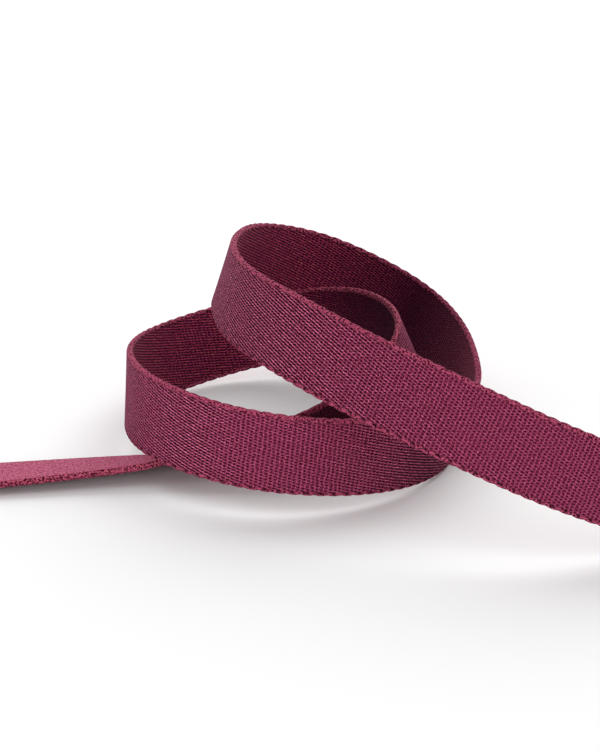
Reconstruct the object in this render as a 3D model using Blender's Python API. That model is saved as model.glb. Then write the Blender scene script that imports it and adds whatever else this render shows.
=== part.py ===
"""A length of heavy woven webbing, wound loosely into two standing loops with both ends running off.

The strip stands on its selvedge almost all the way. Its tail lies flat on the surface at the left,
twists up onto edge, goes once round the low loop, climbs, goes once round the high loop and comes
down across the front to the right. All lengths below are in millimetres; the mesh is in metres.
"""

import math

import bmesh
import bpy
import numpy as np

MM = 0.001

WEBBING_WIDTH = 30.0
WEBBING_THICKNESS = 2.7
# The selvedge is rounded over this far from the strip's edge, and this far in from each face.
SELVEDGE_ROUND_WIDTH = 1.2
SELVEDGE_ROUND_DEPTH = 1.0
SELVEDGE_STEPS = 3

# The tail's last stretch lies dead flat, and twists up gradually over the next one.
FLAT_TAIL_LENGTH = 14.0
TAIL_LIFT_LENGTH = 32.0

SECTION_STEP = 4.0

WEBBING_COLOUR = (0.175, 0.026, 0.055, 1.0)
WEBBING_ROUGHNESS = 0.85

# Where the middle of the strip runs, in the order in which it is wound. The lean is how far its
# upper selvedge tips to the outside of the turn: 0 stands upright, 90 lies flat.
ROUTE_COLUMNS = ("place", "x", "y", "height", "lean")
ROUTE = (
    ("tail, cut end", -160.0, 10.0, 1.4, 89.0),
    ("tail, lower edge resting", -114.0, 17.0, 2.8, 84.5),
    ("tail, tilting up", -76.0, 23.5, 4.0, 80.0),
    ("tail, under the low loop", -53.0, 26.5, 5.6, 74.0),
    ("tail, twisting up", -26.0, 28.5, 9.8, 56.0),
    ("tail, getting onto its edge", -0.5, 30.0, 13.3, 35.0),
    ("low loop, start of right turn", 22.5, 40.0, 19.0, 5.0),
    ("low loop, right turn", 42.5, 71.0, 29.0, -18.0),
    ("low loop, end of right turn", 39.5, 109.5, 32.0, -23.0),
    ("low loop, back right", 16.5, 140.0, 27.0, -6.0),
    ("low loop, back", -20.0, 148.0, 19.2, 13.0),
    ("low loop, back left, resting", -52.5, 127.5, 15.2, 17.0),
    ("low loop, left", -67.0, 91.0, 18.0, 3.0),
    ("low loop, front left", -65.5, 50.0, 23.0, -6.0),
    ("low loop, front left corner", -52.0, 12.0, 26.2, -11.0),
    ("low loop, front", -23.0, -11.5, 24.4, -6.5),
    ("low loop, front right", 15.5, -11.5, 20.2, 1.0),
    ("high loop, low right", 46.5, 11.0, 16.4, 7.0),
    ("high loop, right, resting", 63.5, 46.0, 14.5, 16.0),
    ("high loop, right side", 67.0, 85.5, 15.4, 14.0),
    ("high loop, climbing", 62.0, 124.0, 18.7, 17.0),
    ("high loop, back right", 44.0, 158.0, 27.0, 14.0),
    ("high loop, back", 11.5, 169.5, 40.8, -5.0),
    ("high loop, back left", -17.0, 147.5, 53.0, -15.0),
    ("high loop, left side", -28.3, 111.0, 60.3, -19.0),
    ("high loop, left", -29.7, 72.0, 64.5, -16.0),
    ("high loop, front left", -23.0, 33.0, 66.0, -17.0),
    ("high loop, front", -6.0, -2.0, 65.4, -22.0),
    ("run-off, leaving the loop", 20.5, -30.5, 59.0, -25.0),
    ("run-off, over the low loop", 53.0, -49.0, 48.3, -19.0),
    ("run-off, coming down", 89.0, -57.5, 34.0, -7.5),
    ("run-off, cut end, resting", 141.0, -54.0, 13.6, 11.0),
)


def clear_scene():
    for obj in list(bpy.data.objects):
        bpy.data.objects.remove(obj, do_unlink=True)


def natural_spline(knots, values, at):
    """Evaluate the natural cubic spline through (knots, values) at the parameters in `at`."""
    count = len(knots)
    steps = np.diff(knots)
    slopes = np.diff(values, axis=0) / steps[:, None]
    system = np.eye(count)
    bends = np.zeros_like(values)
    for i in range(1, count - 1):
        system[i, i - 1] = steps[i - 1]
        system[i, i] = 2.0 * (steps[i - 1] + steps[i])
        system[i, i + 1] = steps[i]
        bends[i] = 6.0 * (slopes[i] - slopes[i - 1])
    second = np.linalg.solve(system, bends)

    seg = np.clip(np.searchsorted(knots, at, side="right") - 1, 0, count - 2)
    step = steps[seg][:, None]
    right = ((at - knots[seg])[:, None]) / step
    left = 1.0 - right
    cubic = (left**3 - left) * second[seg] + (right**3 - right) * second[seg + 1]
    return left * values[seg] + right * values[seg + 1] + cubic * step**2 / 6.0


def smooth_step(value, start, end):
    t = np.clip((value - start) / (end - start), 0.0, 1.0)
    return t * t * (3.0 - 2.0 * t)


def centre_line():
    """Points every SECTION_STEP along the middle of the strip, their lean and their distance along."""
    stations = np.array([row[1:] for row in ROUTE])
    chords = np.linalg.norm(np.diff(stations[:, :3], axis=0), axis=1)
    knots = np.concatenate(([0.0], np.cumsum(chords)))
    fine = natural_spline(knots, stations, np.linspace(0.0, knots[-1], 4000))
    steps = np.linalg.norm(np.diff(fine[:, :3], axis=0), axis=1)
    along = np.concatenate(([0.0], np.cumsum(steps)))

    distances = np.linspace(0.0, along[-1], round(along[-1] / SECTION_STEP) + 1)
    even = np.column_stack([np.interp(distances, along, column) for column in fine.T])
    lift = smooth_step(distances, FLAT_TAIL_LENGTH, FLAT_TAIL_LENGTH + TAIL_LIFT_LENGTH)
    points = even[:, :3]
    points[:, 2] = points[:, 2] * lift + 0.5 * WEBBING_THICKNESS * (1.0 - lift)
    lean = even[:, 3] * lift + 90.0 * (1.0 - lift)
    return points, lean, distances


def section_axes(points, lean):
    """For each point, the way across the strip towards its upper selvedge and the way out of its face."""
    ahead = np.gradient(points, axis=0)
    ahead /= np.linalg.norm(ahead, axis=1)[:, None]
    outward = np.cross(ahead, (0.0, 0.0, 1.0))
    outward /= np.linalg.norm(outward, axis=1)[:, None]
    upright = np.cross(outward, ahead)
    angle = np.radians(lean)[:, None]
    across = np.cos(angle) * upright + np.sin(angle) * outward
    normal = np.cross(ahead, across)
    return across, normal


def section_outline():
    """The strip's section as (across, out of face) pairs, counter-clockwise from the upper selvedge."""
    half_width = 0.5 * WEBBING_WIDTH
    half_thickness = 0.5 * WEBBING_THICKNESS
    corner = []
    for i in range(SELVEDGE_STEPS + 1):
        turn = math.radians(90.0 * i / SELVEDGE_STEPS)
        across = half_width - SELVEDGE_ROUND_WIDTH * (1.0 - math.cos(turn))
        out = half_thickness - SELVEDGE_ROUND_DEPTH * (1.0 - math.sin(turn))
        corner.append((across, out))
    mirrored = [(-across, out) for across, out in reversed(corner)]
    upper_half = corner + mirrored
    lower_half = [(-across, -out) for across, out in upper_half]
    return upper_half + lower_half


def webbing_mesh():
    points, lean, _ = centre_line()
    across_axis, normal_axis = section_axes(points, lean)
    outline = section_outline()

    bm = bmesh.new()
    rings = []
    for centre, across_way, normal_way in zip(points, across_axis, normal_axis):
        ring = []
        for across, out in outline:
            place = centre + across * across_way + out * normal_way
            # The selvedge is pressed flat where the strip rests.
            place[2] = max(place[2], 0.0)
            ring.append(bm.verts.new(place * MM))
        rings.append(ring)
    for this_ring, next_ring in zip(rings, rings[1:]):
        for i in range(len(outline)):
            j = (i + 1) % len(outline)
            bm.faces.new((this_ring[i], this_ring[j], next_ring[j], next_ring[i]))
    bm.faces.new(list(reversed(rings[0])))
    bm.faces.new(rings[-1])
    bmesh.ops.recalc_face_normals(bm, faces=bm.faces)

    mesh = bpy.data.meshes.new("webbing")
    bm.to_mesh(mesh)
    bm.free()
    return mesh


def stand_over_origin(mesh):
    """Slide the mesh sideways so that the middle of its footprint is over the origin."""
    corners = np.array([vertex.co for vertex in mesh.vertices])
    middle = 0.5 * (corners.min(axis=0) + corners.max(axis=0))
    for vertex in mesh.vertices:
        vertex.co.x -= middle[0]
        vertex.co.y -= middle[1]


def webbing_material():
    material = bpy.data.materials.new("webbing")
    material.use_nodes = True
    shader = material.node_tree.nodes["Principled BSDF"]
    shader.inputs["Base Color"].default_value = WEBBING_COLOUR
    shader.inputs["Roughness"].default_value = WEBBING_ROUGHNESS
    shader.inputs["Metallic"].default_value = 0.0
    return material


def build():
    clear_scene()
    mesh = webbing_mesh()
    stand_over_origin(mesh)
    mesh.materials.append(webbing_material())
    mesh.shade_smooth()
    mesh.set_sharp_from_angle(angle=math.radians(40.0))
    webbing = bpy.data.objects.new("webbing", mesh)
    bpy.context.scene.collection.objects.link(webbing)


build()
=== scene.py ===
import math

import bmesh
import bpy
import numpy as np
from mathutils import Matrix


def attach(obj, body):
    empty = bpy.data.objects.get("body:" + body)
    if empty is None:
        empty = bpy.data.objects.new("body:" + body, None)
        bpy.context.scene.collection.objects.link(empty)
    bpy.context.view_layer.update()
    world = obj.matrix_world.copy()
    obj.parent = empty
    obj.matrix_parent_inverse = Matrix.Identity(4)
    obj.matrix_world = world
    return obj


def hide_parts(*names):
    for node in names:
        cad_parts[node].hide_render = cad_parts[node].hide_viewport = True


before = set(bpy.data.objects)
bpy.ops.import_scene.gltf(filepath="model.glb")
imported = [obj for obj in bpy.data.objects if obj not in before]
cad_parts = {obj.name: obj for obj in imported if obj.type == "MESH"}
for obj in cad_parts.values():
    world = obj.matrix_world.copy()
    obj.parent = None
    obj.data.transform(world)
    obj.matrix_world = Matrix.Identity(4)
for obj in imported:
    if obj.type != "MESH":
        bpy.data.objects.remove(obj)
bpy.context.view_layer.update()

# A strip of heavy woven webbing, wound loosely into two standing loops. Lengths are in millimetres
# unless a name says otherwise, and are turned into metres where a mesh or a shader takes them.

MM = 0.001

# The strip, as the part's source lays it out.
WEBBING_WIDTH = 30.0
WEBBING_THICKNESS = 2.7
FLAT_TAIL_LENGTH = 14.0
TAIL_LIFT_LENGTH = 32.0
ROUTE_COLUMNS = ("place", "x", "y", "height", "lean")
ROUTE = (
    ("tail, cut end", -160.0, 10.0, 1.4, 89.0),
    ("tail, lower edge resting", -114.0, 17.0, 2.8, 84.5),
    ("tail, tilting up", -76.0, 23.5, 4.0, 80.0),
    ("tail, under the low loop", -53.0, 26.5, 5.6, 74.0),
    ("tail, twisting up", -26.0, 28.5, 9.8, 56.0),
    ("tail, getting onto its edge", -0.5, 30.0, 13.3, 35.0),
    ("low loop, start of right turn", 22.5, 40.0, 19.0, 5.0),
    ("low loop, right turn", 42.5, 71.0, 29.0, -18.0),
    ("low loop, end of right turn", 39.5, 109.5, 32.0, -23.0),
    ("low loop, back right", 16.5, 140.0, 27.0, -6.0),
    ("low loop, back", -20.0, 148.0, 19.2, 13.0),
    ("low loop, back left, resting", -52.5, 127.5, 15.2, 17.0),
    ("low loop, left", -67.0, 91.0, 18.0, 3.0),
    ("low loop, front left", -65.5, 50.0, 23.0, -6.0),
    ("low loop, front left corner", -52.0, 12.0, 26.2, -11.0),
    ("low loop, front", -23.0, -11.5, 24.4, -6.5),
    ("low loop, front right", 15.5, -11.5, 20.2, 1.0),
    ("high loop, low right", 46.5, 11.0, 16.4, 7.0),
    ("high loop, right, resting", 63.5, 46.0, 14.5, 16.0),
    ("high loop, right side", 67.0, 85.5, 15.4, 14.0),
    ("high loop, climbing", 62.0, 124.0, 18.7, 17.0),
    ("high loop, back right", 44.0, 158.0, 27.0, 14.0),
    ("high loop, back", 11.5, 169.5, 40.8, -5.0),
    ("high loop, back left", -17.0, 147.5, 53.0, -15.0),
    ("high loop, left side", -28.3, 111.0, 60.3, -19.0),
    ("high loop, left", -29.7, 72.0, 64.5, -16.0),
    ("high loop, front left", -23.0, 33.0, 66.0, -17.0),
    ("high loop, front", -6.0, -2.0, 65.4, -22.0),
    ("run-off, leaving the loop", 20.5, -30.5, 59.0, -25.0),
    ("run-off, over the low loop", 53.0, -49.0, 48.3, -19.0),
    ("run-off, coming down", 89.0, -57.5, 34.0, -7.5),
    ("run-off, cut end, resting", 141.0, -54.0, 13.6, 11.0),
)
# The middle of the strip's footprint in the route's own coordinates; it stands over the origin.
FOOTPRINT_MIDDLE = (-7.75, 55.76)
ROUTE_SAMPLES = 12000

# Floats lie in diagonal lines: each is one column along and a third of a row down from the last.
ROW_PITCH = 1.12
ROW_DROP_SHARE = 1.0 / 3.0
# How far apart the columns lie along the strip, how much its diagonal lines stand out from the
# pits between the floats (0 to 1; partly the weave's own pattern and partly painted light and shade
# that the light across each stretch would give), how deep in painted shade each face is (0 to 1),
# and how speckled the selvedge is with painted shade and painted glints (0 to 1), as the photograph shows
# them.
WEAVE_COLUMNS = ("place", "distance along", "column pitch", "lines", "outer shade", "inner shade", "specks")
WEAVE = (
    ("tail", 0.0, 1.66, 0.30, 0.0, 0.0, 1.0),
    ("tail, under the low loop", 118.0, 1.67, 0.30, 0.0, 0.0, 1.0),
    ("tail, twisting up", 150.0, 1.68, 0.30, 0.70, 0.15, 0.7),
    ("low loop, start of right turn", 178.0, 1.68, 0.30, 0.85, 0.35, 0.8),
    ("low loop, right turn", 235.0, 1.69, 0.30, 0.1, 0.90, 1.0),
    ("low loop, back right", 295.0, 1.75, 0.30, 0.1, 0.75, 1.0),
    ("low loop, back", 345.0, 1.80, 0.30, 0.0, 0.10, 0.4),
    ("low loop, left", 440.0, 1.85, 0.45, 0.0, 0.10, 0.0),
    ("low loop, front left corner", 500.0, 1.98, 0.75, 0.0, 0.0, 0.0),
    ("low loop, front", 524.0, 1.78, 0.95, 0.0, 0.0, 0.0),
    ("low loop, front middle", 552.0, 1.71, 0.20, 0.0, 0.0, 0.0),
    ("low loop, front right", 575.0, 1.70, 0.25, 0.0, 0.0, 0.0),
    ("low loop, nearing the run-off", 600.0, 1.62, 0.70, 0.0, 0.0, 0.0),
    ("low loop, under the run-off", 622.0, 1.64, 0.95, 0.35, 0.2, 0.0),
    ("high loop, right", 700.0, 1.74, 0.40, 0.3, 0.40, 0.0),
    ("high loop, back right", 775.0, 1.86, 0.30, 0.0, 0.85, 0.2),
    ("high loop, back left", 830.0, 1.95, 0.40, 0.0, 0.0, 0.4),
    ("high loop, left", 940.0, 2.10, 0.60, 0.08, 0.0, 0.1),
    ("high loop, front left", 1000.0, 2.15, 0.95, 0.14, 0.0, 0.0),
    ("high loop, front", 1022.0, 1.96, 1.00, 0.08, 0.0, 0.0),
    ("run-off, leaving the loop", 1070.0, 1.70, 0.45, 0.08, 0.0, 0.0),
    ("run-off, over the low loop", 1100.0, 1.60, 0.15, 0.05, 0.0, 0.0),
    ("run-off, cut end", 1200.0, 1.58, 0.10, 0.0, 0.0, 0.0),
)
# The inner face of the wound part is painted redder and darker, as painted shade, with its lines drawn more
# strongly. The tail's is like the outer one, and changes between these two distances along the strip.
INNER_FACE_LINES = 0.62
TAIL_TURNS_INWARD = (112.0, 150.0)
# The weft turns round the selvedge once every three columns. Each turn is a round bump with tight
# valleys beside it, leans over the edge, and takes some of its height from inside the plain outline.
COLUMNS_PER_TURN = 3.0
TURN_BULGE = 0.5
TURN_BULGE_INWARD = 0.35
TURN_LEAN = 0.5
TURN_ROUNDNESS = 0.7
SELVEDGE_RADIUS = 1.25
SELVEDGE_ARC_DEG = 100.0
SELVEDGE_ARC_BULGE = 0.3
GROOVE_FROM_EDGE = 1.7
GROOVE_DEPTH = 0.2
GROOVE_BULGE = 0.15
# How far apart the skin's rings are along the strip.
RING_STEP = 0.7
# Where the skin's rows lie on half a face, as shares of the way from its middle to the groove.
FACE_ROWS = (0.0, 0.45, 0.84, 0.96)
SELVEDGE_ARC_STEPS = 9

# The flat layout of the skin: rows of it, the gaps between them, and where its two ends lie.
BAKE_ROWS = 4
BAKE_MARGIN = 1.0
BAKE_END_GAP = 3.0
BAKE_TAIL_END = 20.0
BAKE_RUN_OFF_END = 60.0

# The camera, in the route's coordinates.
CAMERA_TILT_DEG = 18.0
CAMERA_DISTANCE = 950.0
PIXELS_PER_MM = 2.68
IMAGE_HEIGHT_PX = 750
# How far down the picture the route's zero point appears. It is on the surface, midway across.
ZERO_POINT_DOWN_PX = 498.0
SENSOR_HEIGHT = 36.0
CAMERA_REACH_M = 20.0

# In metres and watts. The back light skims the upper selvedges and the tail, and the others fill
# the front.
STUDIO_MIDDLE = (0.0, 0.0, 0.04)
LIGHT_COLUMNS = ("name", "place", "target", "size", "power")
LIGHTS = (
    ("back", (0.15, 1.80, 0.98), STUDIO_MIDDLE, 3.0, 66.0),
    ("top", (0.0, -0.9, 1.5), (0.0, -0.25, 0.0), 1.5, 5.0),
    ("key", (-0.64, -1.10, 0.31), STUDIO_MIDDLE, 0.35, 4.8),
    ("fill", (0.73, -1.04, 0.31), STUDIO_MIDDLE, 0.45, 1.5),
)
STUDIO_BRIGHTNESS = 0.56
WHITE = (1.0, 1.0, 1.0, 1.0)

FLOOR_HALF_WIDTH_M = 6.0
FLOOR_DROP_M = 0.0003
FLOOR_COLOUR = (0.86, 0.86, 0.86, 1.0)
FLOOR_ROUGHNESS = 0.9


def natural_spline(knots, values, at):
    """Evaluate the natural cubic spline through (knots, values) at the parameters in `at`."""
    count = len(knots)
    steps = np.diff(knots)
    slopes = np.diff(values, axis=0) / steps[:, None]
    system = np.eye(count)
    bends = np.zeros_like(values)
    for i in range(1, count - 1):
        system[i, i - 1] = steps[i - 1]
        system[i, i] = 2.0 * (steps[i - 1] + steps[i])
        system[i, i + 1] = steps[i]
        bends[i] = 6.0 * (slopes[i] - slopes[i - 1])
    second = np.linalg.solve(system, bends)

    seg = np.clip(np.searchsorted(knots, at, side="right") - 1, 0, count - 2)
    step = steps[seg][:, None]
    right = ((at - knots[seg])[:, None]) / step
    left = 1.0 - right
    cubic = (left**3 - left) * second[seg] + (right**3 - right) * second[seg + 1]
    return left * values[seg] + right * values[seg + 1] + cubic * step**2 / 6.0


def smooth_step(value, start, end):
    t = np.clip((value - start) / (end - start), 0.0, 1.0)
    return t * t * (3.0 - 2.0 * t)


def lay_out_strip(step):
    """Sections every `step` along the strip: distance, middle, way across and way out of its face."""
    stations = np.array([row[1:] for row in ROUTE])
    chords = np.linalg.norm(np.diff(stations[:, :3], axis=0), axis=1)
    knots = np.concatenate(([0.0], np.cumsum(chords)))
    fine = natural_spline(knots, stations, np.linspace(0.0, knots[-1], ROUTE_SAMPLES))
    steps = np.linalg.norm(np.diff(fine[:, :3], axis=0), axis=1)
    along = np.concatenate(([0.0], np.cumsum(steps)))

    distances = np.linspace(0.0, along[-1], round(along[-1] / step) + 1)
    even = np.column_stack([np.interp(distances, along, column) for column in fine.T])
    lift = smooth_step(distances, FLAT_TAIL_LENGTH, FLAT_TAIL_LENGTH + TAIL_LIFT_LENGTH)
    middle = even[:, :3]
    middle[:, 2] = middle[:, 2] * lift + 0.5 * WEBBING_THICKNESS * (1.0 - lift)
    lean = np.radians(even[:, 3] * lift + 90.0 * (1.0 - lift))[:, None]

    ahead = np.gradient(middle, axis=0)
    ahead /= np.linalg.norm(ahead, axis=1)[:, None]
    outward = np.cross(ahead, (0.0, 0.0, 1.0))
    outward /= np.linalg.norm(outward, axis=1)[:, None]
    upright = np.cross(outward, ahead)
    across = np.cos(lean) * upright + np.sin(lean) * outward
    normal = np.cross(ahead, across)
    middle[:, 0] -= FOOTPRINT_MIDDLE[0]
    middle[:, 1] -= FOOTPRINT_MIDDLE[1]
    return distances, middle, across, normal


def quarter_section():
    """The outer face's upper half, from its middle to the selvedge's middle, as (across, out, bulge).

    Bulge says how much of the weft's turn each point takes part in."""
    half_width = 0.5 * WEBBING_WIDTH
    half_thickness = 0.5 * WEBBING_THICKNESS
    groove = half_width - GROOVE_FROM_EDGE
    points = [(groove * share, half_thickness, 0.0) for share in FACE_ROWS]
    points.append((groove, half_thickness - GROOVE_DEPTH, GROOVE_BULGE))
    centre = half_width - SELVEDGE_RADIUS - TURN_BULGE * 0.5
    for i in range(SELVEDGE_ARC_STEPS + 1):
        turn = math.radians(SELVEDGE_ARC_DEG - SELVEDGE_ARC_DEG * i / SELVEDGE_ARC_STEPS)
        across = centre + SELVEDGE_RADIUS * math.cos(turn)
        out = half_thickness * math.sin(turn)
        rise = (1.0 - SELVEDGE_ARC_BULGE) * math.cos(min(turn, math.pi / 2))
        points.append((across, out, SELVEDGE_ARC_BULGE + rise))
    return points


def section_outline():
    """The section's outer and inner half, as rows of (across, out, bulge, reach).

    Reach is the distance from the middle of the face, along the section. The outer half goes down
    from the middle of the upper selvedge to the lower one's, and the inner half goes up again."""
    across, out, bulge = (np.array(column) for column in zip(*quarter_section()))
    reach = np.concatenate(([0.0], np.cumsum(np.hypot(np.diff(across), np.diff(out)))))
    upper = list(zip(across, out, bulge, reach))
    outer = upper[::-1] + [(-a, o, b, -r) for a, o, b, r in upper[1:]]
    inner = [(a, -o, b, r) for a, o, b, r in reversed(outer)]
    return outer, inner


def weave_along(distances, name):
    """One named column of the weave's table, read at each distance along the strip."""
    at, values = ([row[WEAVE_COLUMNS.index(n)] for row in WEAVE] for n in ("distance along", name))
    return np.interp(distances, at, values)


def count_columns(distances):
    """How many columns of the weave have passed at each distance along the strip."""
    pitch = weave_along(distances, "column pitch")
    steps = np.diff(distances) * 0.5 * (1.0 / pitch[1:] + 1.0 / pitch[:-1])
    return np.concatenate(([0.0], np.cumsum(steps)))


def turn_profile(columns):
    """How far the weft's turns stand out: round bumps with tight valleys, from 0 to 1."""
    return np.abs(np.sin(np.pi * columns / COLUMNS_PER_TURN)) ** TURN_ROUNDNESS


def webbing_mesh():
    """The whole strip as one closed skin, with its place on the strip kept in the map `Weave`."""
    distances, middle, across, normal = lay_out_strip(RING_STEP)
    outer, inner = section_outline()
    ring = outer + inner[1:-1]
    around = len(ring)
    count = len(distances)

    a, o, bulge, reach = (np.array(column) for column in zip(*ring))
    side = np.sign(a)
    columns = count_columns(distances)
    # The lower selvedge's turns fall between the upper one's, and each leans over the edge.
    shift = np.where(side < 0.0, 0.5 * COLUMNS_PER_TURN, 0.0)
    turns = turn_profile(columns[:, None] + shift[None, :] + TURN_LEAN * (side * o)[None, :])
    wide = a[None, :] + side[None, :] * bulge[None, :] * TURN_BULGE * (turns - TURN_BULGE_INWARD)
    points = (
        middle[:, None, :]
        + wide[:, :, None] * across[:, None, :]
        + o[None, :, None] * normal[:, None, :]
    )
    points[:, :, 2] = np.maximum(points[:, :, 2], 0.0)

    i, j = np.meshgrid(np.arange(count - 1), np.arange(around), indexing="ij")
    k = (j + 1) % around
    this_ring, next_ring = i * around, (i + 1) * around
    quads = np.stack([this_ring + j, this_ring + k, next_ring + k, next_ring + j], axis=-1)
    quads = quads.reshape(-1, 4)

    mesh = bpy.data.meshes.new("webbing_weave")
    faces = [tuple(q) for q in quads.tolist()]
    faces.append(tuple(range(around - 1, -1, -1)))
    faces.append(tuple((count - 1) * around + n for n in range(around)))
    mesh.from_pydata((points.reshape(-1, 3) * MM).tolist(), [], faces)

    # The inner face is the outer one turned over about the strip's length, so it counts up.
    down = np.where(j < len(outer) - 1, -1.0, 1.0)
    here, there = columns[i], columns[i + 1]
    u = np.stack([here, here, there, there], axis=-1)
    v = np.stack([down * reach[j], down * reach[k], down * reach[k], down * reach[j]], axis=-1)
    weave = np.stack([u, v], axis=-1).reshape(-1, 2)
    ends = []
    for end, at in (("tail", 0.0), ("run_off", columns[-1])):
        order = range(around - 1, -1, -1) if end == "tail" else range(around)
        ends += [(at + o[n], a[n]) for n in order]
    weave = np.concatenate([weave, np.array(ends)])
    layer = mesh.uv_layers.new(name="Weave")
    layer.data.foreach_set("uv", weave.ravel().astype(np.float32))

    add_looks_maps(mesh, distances, np.where(j < len(outer) - 1, 0.0, 1.0), i, around)
    add_bake_map(mesh, weave, quads.shape[0], i, j, around, distances, ring)
    mesh.update()
    return mesh


def add_looks_maps(mesh, distances, inner, i, around):
    """The map `Face` as (lines, face) and the map `Shade` as (shade, specks), from the weave's table.

    Face is 0 on the outer face, 1 on the wound part's inner one and -1 on the tail's."""
    lines = weave_along(distances, "lines")
    outer_shade = weave_along(distances, "outer shade")
    inner_shade = weave_along(distances, "inner shade")
    specks = weave_along(distances, "specks")
    wound = smooth_step(distances, *TAIL_TURNS_INWARD)

    def lay_out(on_outer, on_inner):
        here = on_outer[i] + inner * (on_inner[i] - on_outer[i])
        there = on_outer[i + 1] + inner * (on_inner[i + 1] - on_outer[i + 1])
        return np.stack([here, here, there, there], axis=-1).reshape(-1)

    zeros = np.zeros(len(distances))
    drawn = lay_out(lines, lines + wound * (INNER_FACE_LINES - lines))
    which = lay_out(zeros, 2.0 * wound - 1.0)
    shade = lay_out(outer_shade, inner_shade)
    speckled = lay_out(specks, specks)
    for name, u, v in (("Face", drawn, which), ("Shade", shade, speckled)):
        flat = np.concatenate([np.stack([u, v], axis=-1), np.zeros((2 * around, 2))])
        layer = mesh.uv_layers.new(name=name)
        layer.data.foreach_set("uv", flat.ravel().astype(np.float32))


def add_bake_map(mesh, weave, quad_count, i, j, around, distances, ring):
    """A map that lays the strip's skin out flat in rows, for baking its colours."""
    total = distances[-1]
    row_length = total / BAKE_ROWS
    girth = np.concatenate(([0.0], np.cumsum([
        math.hypot(ring[(n + 1) % around][0] - ring[n][0], ring[(n + 1) % around][1] - ring[n][1])
        for n in range(around)
    ])))
    scale = 1.0 / (row_length + 4.0 * BAKE_MARGIN)
    middle = 0.5 * (distances[i] + distances[i + 1])
    row = np.minimum((middle / row_length).astype(int), BAKE_ROWS - 1)
    start = row * row_length
    x0, x1 = distances[i] - start, distances[i + 1] - start
    y0, y1 = girth[j], girth[j + 1]
    lift = row * (girth[-1] + 2.0 * BAKE_MARGIN) + BAKE_MARGIN
    u = (np.stack([x0, x0, x1, x1], axis=-1) + 2.0 * BAKE_MARGIN) * scale
    v = (np.stack([y0, y1, y1, y0], axis=-1) + lift[..., None]) * scale
    flat = np.stack([u, v], axis=-1).reshape(-1, 2)
    top = BAKE_ROWS * (girth[-1] + 2.0 * BAKE_MARGIN) + BAKE_END_GAP
    ends = weave[4 * quad_count:]
    place = []
    for n, (x, y) in enumerate(ends):
        tail = n < around
        base = 0.0 if tail else total
        left = BAKE_TAIL_END if tail else BAKE_RUN_OFF_END
        place.append(((y + left) * scale, (x - base + top) * scale))
    flat = np.concatenate([flat, np.array(place)])
    layer = mesh.uv_layers.new(name="OFBake")
    layer.data.foreach_set("uv", flat.ravel().astype(np.float32))


class Shader:
    """A short way to write a material's arithmetic."""

    def __init__(self, name):
        self.material = bpy.data.materials.new(name)
        self.material.use_nodes = True
        self.tree = self.material.node_tree
        self.principled = self.tree.nodes["Principled BSDF"]

    def node(self, kind, **settings):
        made = self.tree.nodes.new(kind)
        for key, value in settings.items():
            setattr(made, key, value)
        return made

    def join(self, source, socket):
        if hasattr(source, "is_output"):
            self.tree.links.new(source, socket)
        else:
            socket.default_value = source

    def math(self, operation, *values, clamp=False):
        made = self.node("ShaderNodeMath", operation=operation, use_clamp=clamp)
        for socket, value in zip(made.inputs, values):
            self.join(value, socket)
        return made.outputs[0]

    def add(self, first, second):
        return self.math("ADD", first, second)

    def subtract(self, first, second):
        return self.math("SUBTRACT", first, second)

    def multiply(self, first, second):
        return self.math("MULTIPLY", first, second)

    def rest(self, share):
        """What is left of one when this share is taken."""
        return self.math("SUBTRACT", 1.0, share)

    def swing(self, value, middle, strength):
        """How far a value lies from its middle, at this strength."""
        return self.multiply(self.subtract(value, middle), strength)

    def wave(self, turns):
        return self.math("COSINE", self.multiply(turns, 2.0 * math.pi))

    def mix_colour(self, amount, low, high):
        made = self.node("ShaderNodeMix", data_type="RGBA")
        self.join(amount, made.inputs["Factor"])
        # The node's two colours are in its sockets 6 and 7.
        self.join(low, made.inputs[6])
        self.join(high, made.inputs[7])
        return made.outputs[2]

    def map(self, name):
        """One of the mesh's maps, as a vector and as its two channels."""
        vector = self.node("ShaderNodeUVMap", uv_map=name).outputs["UV"]
        split = self.node("ShaderNodeSeparateXYZ")
        self.join(vector, split.inputs[0])
        return vector, split.outputs[0], split.outputs[1]

    def stretch(self, vector, factors):
        made = self.node("ShaderNodeVectorMath", operation="MULTIPLY")
        self.join(vector, made.inputs[0])
        made.inputs[1].default_value = factors
        return made.outputs[0]

    def noise(self, vector, name):
        made = self.node("ShaderNodeTexNoise")
        made.inputs["Scale"].default_value, made.inputs["Detail"].default_value = NOISES[name]
        self.join(vector, made.inputs["Vector"])
        return made.outputs["Fac"]

    def remap(self, value, name):
        made = self.node("ShaderNodeMapRange", interpolation_type="SMOOTHSTEP")
        for socket, number in zip(made.inputs[1:5], RANGES[name]):
            socket.default_value = number
        self.join(value, made.inputs[0])
        return made.outputs[0]


# The yarn on the outer face and on the inner one, which is painted redder and darker as painted shade:
# its body, the lighter fibres in it, the painted highlights on its tops, the warmer ones of them, and
# the painted shade in the pits and lines between the floats.
OUTER_YARN = {
    "body": (0.125, 0.007, 0.034, 1.0),
    "fibre": (0.38, 0.058, 0.135, 1.0),
    "top": (0.90, 0.200, 0.390, 1.0),
    "warm top": (0.66, 0.150, 0.190, 1.0),
    "pit": (0.022, 0.000, 0.005, 1.0),
}
SHADED_INNER_YARN = {
    "body": (0.062, 0.001, 0.022, 1.0),
    "fibre": (0.40, 0.042, 0.125, 1.0),
    "top": (0.72, 0.090, 0.175, 1.0),
    "warm top": (0.92, 0.260, 0.180, 1.0),
    "pit": (0.016, 0.000, 0.010, 1.0),
}
SELVEDGE_COLOUR = (0.40, 0.066, 0.130, 1.0)
# The specks are painted shade in the gaps between the weft's turns.
SELVEDGE_SPECK_COLOUR = (0.040, 0.001, 0.010, 1.0)
# The top of the flat tail is painted paler and even, as painted sheen where the light from behind skims it.
TAIL_COLOUR = (0.47, 0.097, 0.177, 1.0)
TAIL_GLINT_COLOUR = (0.80, 0.260, 0.380, 1.0)
GROOVE_COLOUR = (0.012, 0.002, 0.008, 1.0)

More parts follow.
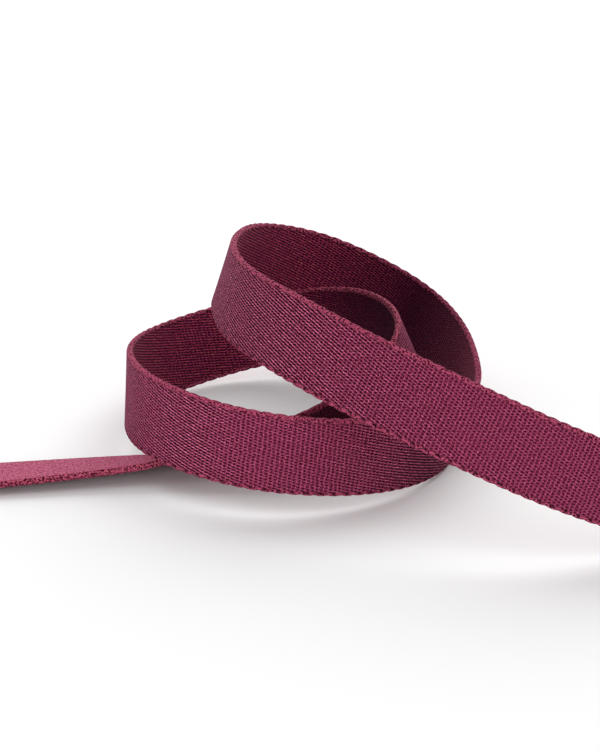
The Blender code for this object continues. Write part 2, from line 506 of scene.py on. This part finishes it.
# Each wave of the weave: turns per column, turns per row, and its share where the diagonal lines
# don't stand out and where they stand out fully.
WAVES = (
    ("columns", 1.0, 0.0, 0.35, 0.08),
    ("diagonal lines", -ROW_DROP_SHARE, 1.0, 0.36, 0.68),
    ("counter lines", 1.0 - ROW_DROP_SHARE, 1.0, 0.29, 0.24),
)

# The noises that make the yarn uneven, as scale and detail. The first two are laid on the lattice,
# and the rest on the strip's face in millimetres.
NOISES = {
    "wander": (0.30, 3.0),
    "drift": (0.90, 2.0),
    "patch": (0.12, 2.0),
    "fibre": (2.0, 2.0),
    "tuft": (0.80, 2.0),
    "grain": (1.9, 1.0),
    "warm": (0.55, 2.0),
    "speck": (1.25, 2.0),
    "fleck": (1.6, 1.0),
    "pepper": (1.0, 2.0),
    "glint": (1.25, 1.0),
}
MEAN_COLUMN_PITCH = 1.7
# On the tail's top the grain is drawn out across the strip, which is seen from a low angle.
TAIL_GRAIN_STRETCH = (1.2, 0.45, 1.0)
NOISE_MIDDLE = 0.5

# How a value becomes a share: while it goes from the first number to the second, the share goes
# smoothly from the third to the fourth.
RANGES = {
    "inner face": (0.0, 1.0, 0.0, 1.0),
    "tail's top": (0.0, -1.0, 0.0, 1.0),
    "grain": (0.38, 0.62, 0.0, 1.0),
    "warm": (0.48, 0.66, 0.0, 1.0),
    "lit": (-0.15, -1.0, 0.0, 1.0),
    "lit in a tuft": (0.35, 0.60, 0.45, 1.0),
    "ridge": (0.35, 1.0, 0.0, 0.16),
    "broken ridge": (0.45, 0.58, 0.0, 1.0),
    "hole": (-0.05, 0.58, 0.0, 1.0),
    "selvedge": (14.2, 14.7, 0.0, 1.0),
    "tail's selvedge": (14.0, 14.4, 0.0, 1.0),
    "speck": (0.53, 0.42, 0.0, 1.0),
    "fleck": (0.56, 0.64, 0.0, 0.7),
    "pepper": (0.50, 0.34, 0.0, 0.85),
    "glint": (0.54, 0.68, 0.0, 0.6),
    "away from groove": (0.10, 0.62, 0.0, 1.0),
    "dash": (0.25, 0.90, 0.0, 0.9),
}

# How far the yarns wander from their lattice, in columns and in rows.
COLUMN_WANDER = 0.8
ROW_DRIFT = 0.5
# How much the lines vary from patch to patch, and how deep the pits look without and with them.
LINES_VARIATION = 0.9
PITS_WITHOUT_LINES = 0.9
PITS_MORE_WITH_LINES = 0.45
FIBRES_IN_PITS = 3.4
TUFTS_AT_SELVEDGE = 1.6
LIGHT_FIBRE_SHARE = 0.62
WARM_TOP_SHARE = 0.6
LIT_WITHOUT_LINES = 0.5
HOLE_WITHOUT_LINES = 0.78
HOLE_NARROWING = 0.22
RIDGE_OFFSET = 0.5
# Where a selvedge is speckled, its specks have more contrast and take up more of it.
SPECK_MIDDLE = 0.49
SPECK_CONTRAST = 1.6
SPECK_SPREAD = 0.07
SELVEDGE_SHADE_SHARE = 0.5
TAIL_TOP_SHARE = 0.78
TAIL_TOP_FLATNESS = 0.6
# The groove's middle, and the slant of its dashes in turns of the weft per millimetre.
GROOVE_MIDDLE = 13.9
DASH_START = 14.0
DASH_SLANT = 0.28

WEAVE_DEPTH = 0.42
FIBRE_RELIEF = 0.45
PIT_RELIEF = 0.85
WEBBING_FINISH = {
    "Roughness": 0.8,
    "Specular IOR Level": 0.03,
    "Sheen Weight": 0.030,
    "Sheen Roughness": 0.35,
    "Sheen Tint": (1.0, 0.70, 0.9, 1.0),
}


def weave_pits(shader, column, row, lines):
    """A pit for each cell of the skewed lattice, as a sum of its waves: 1 in a pit, -0.5 on top."""
    total = 0.0
    for _, per_column, per_row, plain_share, lined_share in WAVES:
        turns = shader.add(shader.multiply(column, per_column), shader.multiply(row, per_row))
        share = shader.add(plain_share, shader.multiply(lines, lined_share - plain_share))
        total = shader.add(total, shader.multiply(shader.wave(turns), share))
    strength = shader.add(PITS_WITHOUT_LINES, shader.multiply(lines, PITS_MORE_WITH_LINES))
    return shader.multiply(total, strength)


def face_yarn(shader, flat, column, lines, pits, fibre, tuft, colours):
    """The woven face: lighter fibres in the body, painted highlights on the tops, and between the floats
    pits of painted shade or ridges of painted highlight.
    """
    rough_pits = shader.add(pits, shader.swing(fibre, NOISE_MIDDLE, FIBRES_IN_PITS))
    grain = shader.remap(shader.noise(flat, "grain"), "grain")
    warm = shader.remap(shader.noise(flat, "warm"), "warm")
    body = shader.mix_colour(shader.multiply(grain, LIGHT_FIBRE_SHARE), colours["body"], colours["fibre"])
    top = shader.mix_colour(shader.multiply(warm, WARM_TOP_SHARE), colours["top"], colours["warm top"])

    lit = shader.multiply(shader.remap(rough_pits, "lit"), shader.remap(tuft, "lit in a tuft"))
    lines_share = shader.multiply(lines, 1.0 - LIT_WITHOUT_LINES)
    lit = shader.multiply(lit, shader.add(LIT_WITHOUT_LINES, lines_share))
    yarn = shader.mix_colour(lit, body, top)

    # Where the lines don't stand out, the pits are small holes of painted shade between thin ridges of
    # painted highlight.
    ridge = shader.remap(shader.wave(shader.add(column, RIDGE_OFFSET)), "ridge")
    ridge = shader.multiply(ridge, shader.remap(fibre, "broken ridge"))
    ridge = shader.multiply(ridge, shader.rest(lines))
    yarn = shader.mix_colour(ridge, yarn, top)
    hole = shader.add(rough_pits, shader.swing(lines, 1.0, HOLE_NARROWING))
    lines_share = shader.multiply(lines, 1.0 - HOLE_WITHOUT_LINES)
    hole = shader.multiply(shader.remap(hole, "hole"), shader.add(HOLE_WITHOUT_LINES, lines_share))
    return shader.mix_colour(hole, yarn, colours["pit"])


def selvedge_yarn(shader, flat, in_shade, speckled, pit):
    """The weft's turns, with dark specks of painted shade between them and, where speckled, light flecks of
    painted highlight, darkened towards the pit colour where the face is in painted shade.
    """
    contrast = shader.add(1.0, shader.multiply(speckled, SPECK_CONTRAST))
    speck = shader.swing(shader.noise(flat, "speck"), SPECK_MIDDLE, contrast)
    speck = shader.subtract(shader.add(speck, SPECK_MIDDLE), shader.multiply(speckled, SPECK_SPREAD))
    band = shader.mix_colour(shader.remap(speck, "speck"), SELVEDGE_COLOUR, SELVEDGE_SPECK_COLOUR)
    fleck = shader.remap(shader.noise(flat, "fleck"), "fleck")
    band = shader.mix_colour(shader.multiply(fleck, speckled), band, OUTER_YARN["warm top"])
    return shader.mix_colour(shader.multiply(in_shade, SELVEDGE_SHADE_SHARE), band, pit)


def tail_top_yarn(shader, flat):
    """The tail's top has hardly any lattice to be seen, only dark specks and painted glints on a ground
    painted pale as sheen.
    """
    stretched = shader.stretch(flat, TAIL_GRAIN_STRETCH)
    pepper = shader.remap(shader.noise(stretched, "pepper"), "pepper")
    glint = shader.remap(shader.noise(stretched, "glint"), "glint")
    ground = shader.mix_colour(pepper, TAIL_COLOUR, OUTER_YARN["body"])
    return shader.mix_colour(glint, ground, TAIL_GLINT_COLOUR)


def groove_dashes(shader, column, down, speckled):
    """One selvedge of each face has a groove with dark dashes, one for each of the weft's turns."""
    turn = shader.multiply(column, 1.0 / COLUMNS_PER_TURN)
    dash = shader.wave(shader.subtract(turn, shader.swing(down, DASH_START, DASH_SLANT)))
    from_groove = shader.math("ABSOLUTE", shader.subtract(down, GROOVE_MIDDLE))
    near_groove = shader.rest(shader.remap(from_groove, "away from groove"))
    groove = shader.multiply(near_groove, shader.remap(dash, "dash"))
    return shader.multiply(groove, shader.rest(speckled))


def webbing_material():
    shader = Shader("burgundy_weave")
    place, column, down = shader.map("Weave")
    _, lines, face = shader.map("Face")
    _, in_shade, speckled = shader.map("Shade")
    inner = shader.remap(face, "inner face")
    on_tail = shader.remap(face, "tail's top")
    flat = shader.stretch(place, (MEAN_COLUMN_PITCH, 1.0, 1.0))

    column = shader.add(column, shader.swing(shader.noise(place, "wander"), NOISE_MIDDLE, COLUMN_WANDER))
    row = shader.multiply(down, 1.0 / ROW_PITCH)
    row = shader.add(row, shader.swing(shader.noise(place, "drift"), NOISE_MIDDLE, ROW_DRIFT))
    variation = shader.swing(shader.noise(flat, "patch"), NOISE_MIDDLE, LINES_VARIATION)
    lines = shader.math("ADD", lines, variation, clamp=True)
    pits = weave_pits(shader, column, row, lines)
    fibre = shader.noise(flat, "fibre")
    tuft = shader.noise(flat, "tuft")

    # Towards either selvedge the pits give way to the weft's turns.
    from_middle = shader.math("ABSOLUTE", down)
    edge = shader.add(from_middle, shader.multiply(tuft, TUFTS_AT_SELVEDGE))
    in_band = shader.remap(edge, "selvedge")
    on_face = shader.rest(shader.multiply(on_tail, TAIL_TOP_FLATNESS))
    on_face = shader.multiply(shader.rest(in_band), on_face)
    in_band = shader.multiply(in_band, shader.rest(on_tail))
    in_band = shader.math("MAXIMUM", in_band, shader.remap(from_middle, "tail's selvedge"))

    # The inner face takes the colours that are painted darker and redder as painted shade.
    colours = {name: shader.mix_colour(inner, OUTER_YARN[name], SHADED_INNER_YARN[name]) for name in OUTER_YARN}
    yarn = face_yarn(shader, flat, column, lines, pits, fibre, tuft, colours)
    # Painted shade: each face is darkened towards its pit colour as deep as the map `Shade` says.
    yarn = shader.mix_colour(in_shade, yarn, colours["pit"])
    # Painted sheen: the tail's top is painted paler, with painted glints.
    yarn = shader.mix_colour(shader.multiply(on_tail, TAIL_TOP_SHARE), yarn, tail_top_yarn(shader, flat))
    band = selvedge_yarn(shader, flat, in_shade, speckled, colours["pit"])
    groove = groove_dashes(shader, column, down, speckled)
    colour = shader.mix_colour(groove, shader.mix_colour(in_band, yarn, band), GROOVE_COLOUR)
    shader.join(colour, shader.principled.inputs["Base Color"])

    pit_relief = shader.multiply(shader.multiply(pits, on_face), PIT_RELIEF)
    relief = shader.subtract(shader.multiply(fibre, FIBRE_RELIEF), pit_relief)
    bump = shader.node("ShaderNodeBump")
    bump.inputs["Strength"].default_value = 1.0
    bump.inputs["Distance"].default_value = WEAVE_DEPTH * MM
    shader.join(shader.subtract(relief, groove), bump.inputs["Height"])
    shader.join(bump.outputs["Normal"], shader.principled.inputs["Normal"])
    for name, value in WEBBING_FINISH.items():
        shader.principled.inputs[name].default_value = value
    return shader.material


def make_webbing():
    mesh = webbing_mesh()
    mesh.materials.append(webbing_material())
    mesh.shade_smooth()
    webbing = bpy.data.objects.new("webbing_weave", mesh)
    bpy.context.scene.collection.objects.link(webbing)
    return webbing


def make_floor():
    mesh = bpy.data.meshes.new("floor")
    bm = bmesh.new()
    bmesh.ops.create_grid(bm, x_segments=1, y_segments=1, size=FLOOR_HALF_WIDTH_M)
    bm.to_mesh(mesh)
    bm.free()
    material = bpy.data.materials.new("pale_floor")
    material.use_nodes = True
    shader = material.node_tree.nodes["Principled BSDF"]
    shader.inputs["Base Color"].default_value = FLOOR_COLOUR
    shader.inputs["Roughness"].default_value = FLOOR_ROUGHNESS
    mesh.materials.append(material)
    floor = bpy.data.objects.new("floor", mesh)
    bpy.context.scene.collection.objects.link(floor)
    floor.location.z = -FLOOR_DROP_M
    return floor


def make_area_light(name, place, target, size, power):
    light = bpy.data.lights.new(name, "AREA")
    light.shape = "SQUARE"
    light.size = size
    light.energy = power
    obj = bpy.data.objects.new(name, light)
    bpy.context.scene.collection.objects.link(obj)
    obj.location = place
    direction = np.array(target) - np.array(place)
    direction /= np.linalg.norm(direction)
    obj.rotation_euler = (
        math.acos(-direction[2]),
        0.0,
        math.atan2(direction[0], -direction[1]) + math.pi,
    )


def make_camera():
    tilt = math.radians(CAMERA_TILT_DEG)
    ahead = np.array((0.0, math.cos(tilt), -math.sin(tilt)))
    up = np.array((0.0, math.sin(tilt), math.cos(tilt)))
    rise = (ZERO_POINT_DOWN_PX - 0.5 * IMAGE_HEIGHT_PX) / PIXELS_PER_MM
    place = -CAMERA_DISTANCE * ahead + rise * up
    place[:2] -= FOOTPRINT_MIDDLE
    data = bpy.data.cameras.new("camera")
    data.sensor_fit = "VERTICAL"
    data.sensor_height = SENSOR_HEIGHT
    data.lens = PIXELS_PER_MM * CAMERA_DISTANCE * SENSOR_HEIGHT / IMAGE_HEIGHT_PX
    data.clip_end = CAMERA_REACH_M
    camera = bpy.data.objects.new("camera", data)
    bpy.context.scene.collection.objects.link(camera)
    camera.location = place * MM
    camera.rotation_euler = (0.5 * math.pi - tilt, 0.0, 0.0)
    bpy.context.scene.camera = camera


def set_light():
    world = bpy.data.worlds.new("studio")
    world.use_nodes = True
    background = world.node_tree.nodes["Background"]
    background.inputs["Color"].default_value = WHITE
    background.inputs["Strength"].default_value = STUDIO_BRIGHTNESS
    bpy.context.scene.world = world
    for row in LIGHTS:
        make_area_light(*row)
    bpy.context.scene.view_settings.view_transform = "Standard"


webbing = make_webbing()
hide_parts("webbing")
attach(webbing, "root")
floor = make_floor()
make_camera()
set_light()
